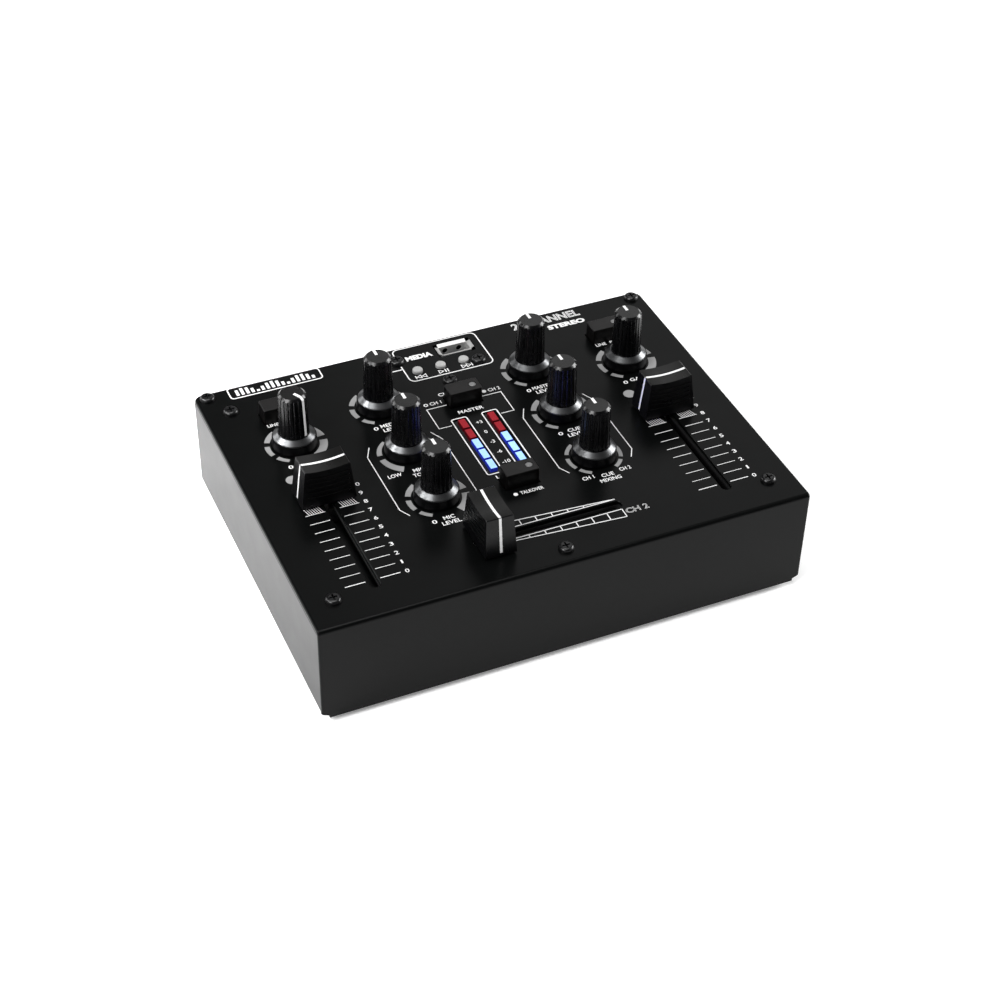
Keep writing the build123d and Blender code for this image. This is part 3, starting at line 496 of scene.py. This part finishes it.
LABEL_ROW = 12.5            # first label row in front of a control's axis
ROW_PITCH = 2.9
ZERO_AT = (-6.1, -13.1)
KNOB_LABELS = {
    "gain_1": (("GAIN", 7.6),),
    "gain_2": (("GAIN", 7.6),),
    "player_level": (("MEDIA", 8.0), ("LEVEL", 7.6)),
    "mic_tone": (("MIC", 4.6), ("TONE", 6.6)),
    "mic_level": (("MIC", 4.6), ("LEVEL", 7.6)),
    "master_level": (("MASTER", 8.6), ("LEVEL", 7.6)),
    "cue_level": (("CUE", 5.4), ("LEVEL", 7.6)),
    "cue_mix": (("CUE", 5.2), ("MIXING", 8.8)),
}
SIDE_WORDS = {"mic_tone": ("LOW", "HIGH", 9.9, -12.6, 5.6), "cue_mix": ("CH 1", "CH 2", 7.9, -11.6, 4.8)}


def print_knob_labels():
    sheet = Sheet()
    for name, rows in KNOB_LABELS.items():
        x, y, _ = middle("collar_" + name)
        for i, (word, width) in enumerate(rows):
            sheet.lettering(word, (x, y - LABEL_ROW - i * ROW_PITCH), LETTER, width)
        if name in GROWING:
            sheet.lettering("0", (x + ZERO_AT[0], y + ZERO_AT[1]), LETTER, 1.9)
    for name, (left, right, reach, down, width) in SIDE_WORDS.items():
        x, y, _ = middle("collar_" + name)
        sheet.lettering(left, (x - reach, y + down), LETTER, width)
        sheet.lettering(right, (x + reach, y + down), LETTER, width)
    sheet.piece("knob_labels", "print_white")


BRACKET = ((13.0, 16.6), (15.7, 11.0), (15.7, -23.0), (13.3, -27.4))


def print_brackets():
    """Thin lines that bracket each pair of microphone and cue controls."""
    sheet = Sheet()
    for name in ("mic_tone", "cue_level"):
        x = middle("collar_" + name).x
        for side in (-1, 1):
            sheet.stroke([(x + side * out, PANEL_MID.y + y) for out, y in BRACKET], LINE)
    sheet.piece("knob_brackets", "print_white")


# ---- Faders ----
TICK_NEAR = 2.9
TICK_FAR = 10.75
MARKS = 10
NUMBER_OUT = 13.4
NUMBER_WIDTH = {1: 0.7, MARKS: 2.8}
HATCH_FROM = 8              # first and last mark beside the hatched blocks
HATCH_UPTO = 8.7
HATCH_INSET = 0.6
HATCH_LINES = 7
HATCH_LEAN = 0.3            # sideways run of a hatch line for each millimetre of its length
HATCH_WIDTH = 0.2
SPOT_R = 2.5
SPOT_OUT = 8.2
SPOT_AHEAD = 11.8


def hatch(sheet, x0, x1, y0, y1):
    """Row of leaning lines inside a box."""
    lean = HATCH_LEAN * (y1 - y0)
    pitch = (x1 - x0 - lean) / (HATCH_LINES - 1)
    for i in range(HATCH_LINES):
        top = x0 + i * pitch
        sheet.stroke([(top + lean, y0), (top, y1)], HATCH_WIDTH)


def print_fader_scales():
    ticks = Sheet()
    numbers = Sheet()
    spots = Sheet()
    for name in ("channel_1", "channel_2"):
        near, far = fader_span(name)
        pitch = (far.y - near.y) / MARKS
        for mark in range(MARKS + 1):
            y = near.y + mark * pitch
            numbers.lettering(str(mark), (near.x + NUMBER_OUT, y), LETTER, NUMBER_WIDTH.get(mark, 1.6))
            if mark > HATCH_FROM:
                continue
            for side in (-1, 1):
                ends = [(near.x + side * out, y) for out in (TICK_NEAR, TICK_FAR)]
                ticks.stroke(ends, THIN_LINE if mark else LINE)
        low, high = near.y + HATCH_FROM * pitch, near.y + HATCH_UPTO * pitch
        for side in (-1, 1):
            ends = (side * (TICK_NEAR + HATCH_INSET), side * (TICK_FAR - HATCH_INSET))
            hatch(ticks, near.x + min(ends), near.x + max(ends), low, high)
        spots.disc((near.x - SPOT_OUT, far.y + SPOT_AHEAD), SPOT_R)
    ticks.piece("channel_scales", "print_white")
    numbers.piece("channel_numbers", "print_white")
    spots.piece("channel_spots", "print_grey")


WEDGE_END = 29.0
WEDGE_GAP = 3.1             # slot centre line to a wedge's straight edge
WEDGE_HEIGHT = 4.6
WEDGE_TIP = 0.15
WEDGE_CELLS = 9


def print_crossfader_scale():
    """Two ladders of cells that widen towards opposite ends of the crossfader slot."""
    sheet = Sheet()
    left, right = fader_span("crossfader")
    mid = (left + right) / 2
    for side in (1, -1):
        def edge(x, tall):
            share = (1 - side * x / WEDGE_END) / 2
            rise = WEDGE_TIP + (WEDGE_HEIGHT - WEDGE_TIP) * share if tall else 0
            return mid.x + x, mid.y + side * (WEDGE_GAP + rise)
        ends = (-WEDGE_END, WEDGE_END)
        sheet.stroke([edge(x, False) for x in ends])
        sheet.stroke([edge(x, True) for x in ends])
        for i in range(WEDGE_CELLS + 1):
            x = WEDGE_END * (2 * i / WEDGE_CELLS - 1)
            sheet.stroke([edge(x, False), edge(x, True)])
    sheet.lettering("CH 2", (mid.x + 34.6, mid.y - 4.8), 2.9, 9.3, weight=0.0, outline=0.018)
    sheet.piece("crossfader_scale", "print_white")


CAP_LINE = 1.05
CAP_HUB = 0.45              # share of the cap's height at which the line's rays meet
CAP_FOOT = 1.2              # the line stops this far over the cap's foot
CAP_CLEAR = 3.0
CAP_STEPS = 120
POINTER = 1.15
POINTER_FOOT = 0.3
POINTER_TIP = 1.0           # the pointer stops this far from the knob's axis
POINTER_STEPS = 90
GRIP_R = 6.1
GRIP_CLEAR = 6.9


def line_fader_caps():
    """White line over the top and down both ends of each fader cap."""
    for name in ("channel_1", "channel_2", "crossfader"):
        low, high = (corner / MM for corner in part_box("cap_" + name))
        size = high - low
        heading = Vector((1, 0, 0)) if size.x > size.y else Vector((0, 1, 0))
        centre = Vector(((low.x + high.x) / 2, (low.y + high.y) / 2, low.z + size.z * CAP_HUB))
        reach = max(size.x, size.y) / 2
        foot = math.degrees(math.atan2(size.z * CAP_HUB - CAP_FOOT, reach))
        angles = fan(-foot, 180 + foot, CAP_STEPS)
        skin_line("line_" + name, "cap_" + name, centre, heading, angles, CAP_LINE, "fader_" + name,
                  reach + CAP_CLEAR)


def line_knobs():
    """White pointer from near the middle of each knob's top to its collar."""
    for name in KNOB_LABELS:
        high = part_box("knob_" + name)[1] / MM
        collar_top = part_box("collar_" + name)[1].z / MM
        centre = middle("collar_" + name)
        centre.z = (collar_top + high.z) / 2
        turn = math.radians(rest_turn(name))
        heading = Vector((math.sin(turn), math.cos(turn), 0))
        foot = math.degrees(math.atan2(centre.z - collar_top - POINTER_FOOT, GRIP_R))
        top = math.degrees(math.atan2(high.z - centre.z, POINTER_TIP))
        skin_line("pointer_" + name, "knob_" + name, centre, heading, fan(-foot, top, POINTER_STEPS), POINTER,
                  "control_" + name, GRIP_CLEAR)


# ---- Cue, meter and talkover: words, places on the panel, heights and widths ----
CUE_BOX = ((16.2, 30.5), (16.2, 17.2), (10.7, 17.2))
CUE_WORDS = (("CUE", -5.4, 37.7, LETTER, 5.6), ("CH 1", -11.2, 33.4, LETTER, 4.9),
             ("CH 2", 14.3, 33.2, LETTER, 5.2))
SIGN_R = 0.95


def write(sheet, words):
    """Words from a table, placed from the panel's middle."""
    for word, x, y, height, width in words:
        sheet.lettering(word, on_panel(x, y), height, width)


def print_cue_box():
    sheet = Sheet()
    switch_low, switch_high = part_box("switch_cap_cue")
    stop = (switch_high.x - switch_low.x) / 2 / MM + 0.6
    for side in (-1, 1):
        points = ((stop, CUE_BOX[0][1]), *CUE_BOX)
        sheet.stroke([on_panel(side * x, y) for x, y in points])
    write(sheet, CUE_WORDS)
    sheet.ring(on_panel(-15.4, 33.4), 0.5, SIGN_R)
    sheet.disc(on_panel(9.9, 33.2), SIGN_R)
    sheet.piece("cue_labels", "print_white")


METER_LABELS = ("+3", "0", "-3", "-6", "-10")
METER_LETTER = 1.9
METER_FRAME = (3.3, 9.8, -16.6, 20.6)
METER_WORDS = (("L", -6.6, -19.0, METER_LETTER, 1.5), ("R", 6.6, -19.0, METER_LETTER, 1.5),
               ("MASTER", 0.2, 24.0, LETTER, 10.8), ("TALKOVER", 2.2, -31.2, SMALL_LETTER, 9.6))


def print_meter():
    sheet = Sheet()
    inner, outer, near, far = METER_FRAME
    for side in (-1, 1):
        x0, x1 = sorted((side * inner, side * outer))
        sheet.stroke([on_panel(*p) for p in rounded_box(x0, x1, near, far, 0.9)], FRAME_LINE, closed=True)
    far_y, near_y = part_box("meter_lights_red")[1].y / MM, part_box("meter_lights_blue")[0].y / MM
    pitch = (far_y - near_y) / len(METER_LABELS)
    for i, word in enumerate(METER_LABELS):
        sheet.lettering(word, (PANEL_MID.x + 0.2, far_y - (i + 0.5) * pitch), METER_LETTER)
    write(sheet, METER_WORDS)
    sheet.disc(on_panel(-4.6, -31.2), 0.9)
    sheet.piece("meter_labels", "print_white")


# ---- Player ----
PLAYER_FRAME = (-15.0, 22.0, 50.0, 73.0)
PLAYER_CORNER = 2.5
SCREW_GAP = (61.3, 68.7)    # opening in the frame's left side, round a screw
STUB = ((-19.6, 59.4), (-15.0, 59.4))
BOLD = 0.05


def print_player():
    """Frame round the player's socket and buttons, open where a screw head stands on its left side."""
    sheet = Sheet()
    outline = rounded_box(*PLAYER_FRAME, PLAYER_CORNER)
    near_left = outline[-CORNER_STEPS - 1:]
    left = PLAYER_FRAME[0]
    path = [(left, SCREW_GAP[0])] + near_left + outline[:-CORNER_STEPS - 1] + [(left, SCREW_GAP[1])]
    for line in (path, STUB):
        sheet.stroke([on_panel(*p) for p in line], FRAME_LINE)
    sheet.lettering("MEDIA", on_panel(-5.6, 65.4), 3.0, 11.6, weight=BOLD)
    sheet.piece("player_frame", "print_white")
    print_transport()


def print_transport():
    """Outlined transport signs in front of the three player buttons."""
    sheet = Sheet()
    tall, wide, ahead, fine, bar = 2.1, 1.9, 3.9, 0.32, 0.45

    def triangle(x, y, side):
        sheet.stroke([(x, y - tall / 2), (x + side * wide, y), (x, y + tall / 2)][::side], fine, closed=True)

    def upright(x, y):
        sheet.stroke([(x, y - tall / 2), (x, y + tall / 2)], bar)

    for name in ("previous", "play", "next"):
        x, y, _ = middle("button_" + name)
        y -= ahead
        if name == "play":
            triangle(x - 2.2, y, 1)
            upright(x + 0.6, y)
            upright(x + 1.7, y)
            continue
        side = 1 if name == "next" else -1
        for shift in (-2.3, -0.1):
            triangle(x + side * shift, y, side)
        upright(x + side * 2.2, y)
    sheet.piece("transport_signs", "print_white")


# ---- Titles ----
BADGE = (-86.0, -47.0, 66.6, 73.8)
BARS = 16
BAR = 1.2
BAR_PITCH = 2.15
BAR_START = 3.3
BAR_FOOT = 68.0


def print_badge():
    """Plain frame with a row of level bars."""
    sheet = Sheet()
    sheet.stroke([on_panel(*p) for p in rounded_box(*BADGE, 1.4)], FRAME_LINE, closed=True)
    for i in range(BARS):
        x = BADGE[0] + BAR_START + i * BAR_PITCH
        top = BAR_FOOT + 1.0 + 3.4 * abs(math.sin(0.9 + 0.55 * i))
        corners = ((x - BAR / 2, BAR_FOOT), (x + BAR / 2, BAR_FOOT), (x + BAR / 2, top), (x - BAR / 2, top))
        sheet.plate([on_panel(*p) for p in corners])
    sheet.piece("badge", "print_white")


INPUT_DOWN = 4.9


def print_title():
    """Title at the far right and the words in front of the two input switches."""
    sheet = Sheet()
    sheet.lettering("2-CHANNEL", on_panel(54.0, 69.6), 4.6, 31.0, weight=0.0, outline=0.03)
    sheet.lettering("STEREO", on_panel(61.0, 63.6), 3.0, 17.0, weight=BOLD)
    for name in ("input_1", "input_2"):
        x, y, _ = middle("switch_cap_" + name)
        sheet.lettering("LINE", (x - 4.0, y - INPUT_DOWN), SMALL_LETTER, 4.6)
        sheet.lettering("PHONO", (x + 3.4, y - INPUT_DOWN), SMALL_LETTER, 6.6)
    sheet.piece("title", "print_white")


PHONO_WORDS = {-70: "PHONO 1", -50: "LINE 1", -24: "PHONO 2", -4: "LINE 2", 22: "OUTPUT"}
JACK_WORDS = {46: "PHONES", 66: "MIC", 86: "DC IN", -86: "GND", -37: "GND"}
REAR_LETTER = 1.9


def print_rear():
    """Function words over the rear connectors, read from behind."""
    rear_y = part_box("rear_panel")[1].y
    sheet = Sheet(base=0)
    for words, height in ((PHONO_WORDS, 34.0), (JACK_WORDS, 29.0)):
        for x, word in words.items():
            sheet.lettering(word, (-x, height), REAR_LETTER)
    turn = Matrix(((-1, 0, 0, 0), (0, 0, 1, rear_y), (0, 1, 0, 0), (0, 0, 0, 1)))
    sheet.piece("rear_labels", "print_white", move=turn)


# ---- Switch lenses ----
LENS_R = 1.4
LENS_OFFSET = 4.0
LENS_PROFILE = ((LENS_R, -0.55), (LENS_R, -0.12), (LENS_R * 0.8, 0.0), (LENS_R * 0.45, 0.07))
LENS_TOP = 0.09
LENS_STEPS = 28


def make_lenses():
    """Low domed lens in the pocket of each push switch's cap."""
    for name in ("input_1", "input_2", "cue", "talkover"):
        low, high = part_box("switch_cap_" + name)
        centre = Vector(((low.x + high.x) / 2 + LENS_OFFSET * MM, (low.y + high.y) / 2, high.z))
        mesh = bmesh.new()
        rings = []
        for radius, height in LENS_PROFILE:
            rings.append([mesh.verts.new(centre + Vector((x, y, height)) * MM)
                          for x, y in round_about((0, 0), radius, LENS_STEPS)])
        for lower, upper in zip(rings, rings[1:]):
            for i in range(LENS_STEPS):
                j = i - LENS_STEPS + 1
                mesh.faces.new((lower[i], lower[j], upper[j], upper[i]))
        tip = mesh.verts.new(centre + Vector((0, 0, LENS_TOP)) * MM)
        for i in range(LENS_STEPS):
            mesh.faces.new((rings[-1][i], rings[-1][i - LENS_STEPS + 1], tip))
        mesh.faces.new(rings[0][::-1])
        for face in mesh.faces:
            face.smooth = True
        keep_mesh("lens_" + name, mesh, "lens_grey", "switch_" + name)


# ---- Stage, light and camera ----
# The camera's distance and shifts are in millimetres, the floor and the softboxes in metres.
AZIMUTH = -24.529
ELEVATION = 40.093
ROLL = 1.364
DISTANCE = 803.193
AIM_HEIGHT = 33.8
AIM_RIGHT = 2.524
AIM_UP = -12.353
LENS = 72.94
FLOOR_HALF = 6.0


def make_floor():
    corners = [(x * FLOOR_HALF, y * FLOOR_HALF, 0) for x, y in ((-1, -1), (1, -1), (1, 1), (-1, 1))]
    mesh = bpy.data.meshes.new("floor")
    mesh.from_pydata(corners, [], [(0, 1, 2, 3)])
    floor = bpy.data.objects.new("floor", mesh)
    bpy.context.scene.collection.objects.link(floor)
    paint = bpy.data.materials.new("floor")
    paint.use_nodes = True
    shader = paint.node_tree.nodes["Principled BSDF"]
    shader.inputs["Base Color"].default_value = (0.92, 0.92, 0.92, 1)
    shader.inputs["Emission Color"].default_value = (1, 1, 1, 1)
    shader.inputs["Emission Strength"].default_value = 0.25
    shader.inputs["Roughness"].default_value = 0.9
    shader.inputs["Specular IOR Level"].default_value = 0.1
    mesh.materials.append(paint)


# Name, place, aim, size, watts and spread in degrees.
SOFTBOXES = (
    ("key_left", (-1.15, -0.45, 1.2), (0, 0, 0), (0.7, 0.7), 22, 180),
    ("key_right", (1.55, 0.0, 0.6), (0, 0, 0), (0.9, 0.6), 26, 180),
    ("overhead", (0, 0.1, 1.9), (0, 0, 0), (1.0, 1.0), 18, 180),
    ("back", (0.75, 1.15, 1.1), (0, 0, 0), (0.9, 0.7), 2.2, 180),
    ("rim_left", (-1.0, 1.1, 0.45), (0, 0, 0), (0.7, 0.45), 6, 180),
    ("wall_glow", (-0.46, 0.16, 0.42), (-0.17, 0.06, 0), (0.2, 0.12), 0.3, 34),
)
GLOW_OUT = 8.5              # the meter's blue glow stands this far to each side, and this far up
GLOW_UP = 5.0
GLOW_TILT = 0.25
GLOW_SIZE = (0.004, 0.018)
GLOW_POWER = 0.0012
GLOW_SPREAD = 60
GLOW_BLUE = (0.06, 0.06, 1.0)


def area_light(name, place, aim, size, power, spread, colour=(1, 1, 1)):
    """Flat light that the camera doesn't see, aimed at a point."""
    data = bpy.data.lights.new(name, "AREA")
    data.color = colour
    data.shape = "RECTANGLE"
    data.size, data.size_y = size
    data.energy = power
    data.spread = math.radians(spread)
    light = bpy.data.objects.new(name, data)
    light.location = place
    light.rotation_mode = "QUATERNION"
    light.rotation_quaternion = (Vector(aim) - Vector(place)).to_track_quat("-Z", "Y")
    light.visible_camera = False
    bpy.context.scene.collection.objects.link(light)


def make_light_rig():
    world = bpy.data.worlds.new("world")
    bpy.context.scene.world = world
    world.use_nodes = True
    background = world.node_tree.nodes["Background"]
    background.inputs["Color"].default_value = (1, 1, 1, 1)
    background.inputs["Strength"].default_value = 0.05
    for softbox in SOFTBOXES:
        area_light(*softbox)
    low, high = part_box("meter_lights_blue")
    top = Vector(((low.x + high.x) / 2, (low.y + high.y) / 2, high.z))
    for name, side in (("meter_glow_left", -1), ("meter_glow_right", 1)):
        place = top + Vector((side * GLOW_OUT, 0, GLOW_UP)) * MM
        aim = place + Vector((side, 0, GLOW_TILT))
        area_light(name, place, aim, GLOW_SIZE, GLOW_POWER, GLOW_SPREAD, GLOW_BLUE)


def make_camera():
    """Camera at the place that gives the reference view; the aim point is over the panel's middle."""
    azimuth, elevation, roll = (math.radians(a) for a in (AZIMUTH, ELEVATION, ROLL))
    back = Vector((math.sin(azimuth) * math.cos(elevation), -math.cos(azimuth) * math.cos(elevation),
                   math.sin(elevation)))
    level_right = (-back).cross(Vector((0, 0, 1))).normalized()
    level_up = level_right.cross(-back)
    right = level_right * math.cos(roll) + level_up * math.sin(roll)
    up = level_up * math.cos(roll) - level_right * math.sin(roll)
    aim = Vector((PANEL_MID.x, PANEL_MID.y, AIM_HEIGHT))
    place = aim + back * DISTANCE + right * AIM_RIGHT + up * AIM_UP
    data = bpy.data.cameras.new("camera")
    data.lens = LENS
    data.sensor_width = 36
    camera = bpy.data.objects.new("camera", data)
    turn = Matrix((right, up, back)).transposed().to_4x4()
    camera.matrix_world = Matrix.Translation(place * MM) @ turn
    bpy.context.scene.collection.objects.link(camera)
    bpy.context.scene.camera = camera


make_finishes()
dress_frame()
print_scales()
print_knob_labels()
print_brackets()
print_fader_scales()
print_crossfader_scale()
print_cue_box()
print_meter()
print_player()
print_badge()
print_title()
print_rear()
line_fader_caps()
line_knobs()
make_lenses()
make_floor()
make_light_rig()
make_camera()
bpy.context.scene.view_settings.view_transform = "Standard"
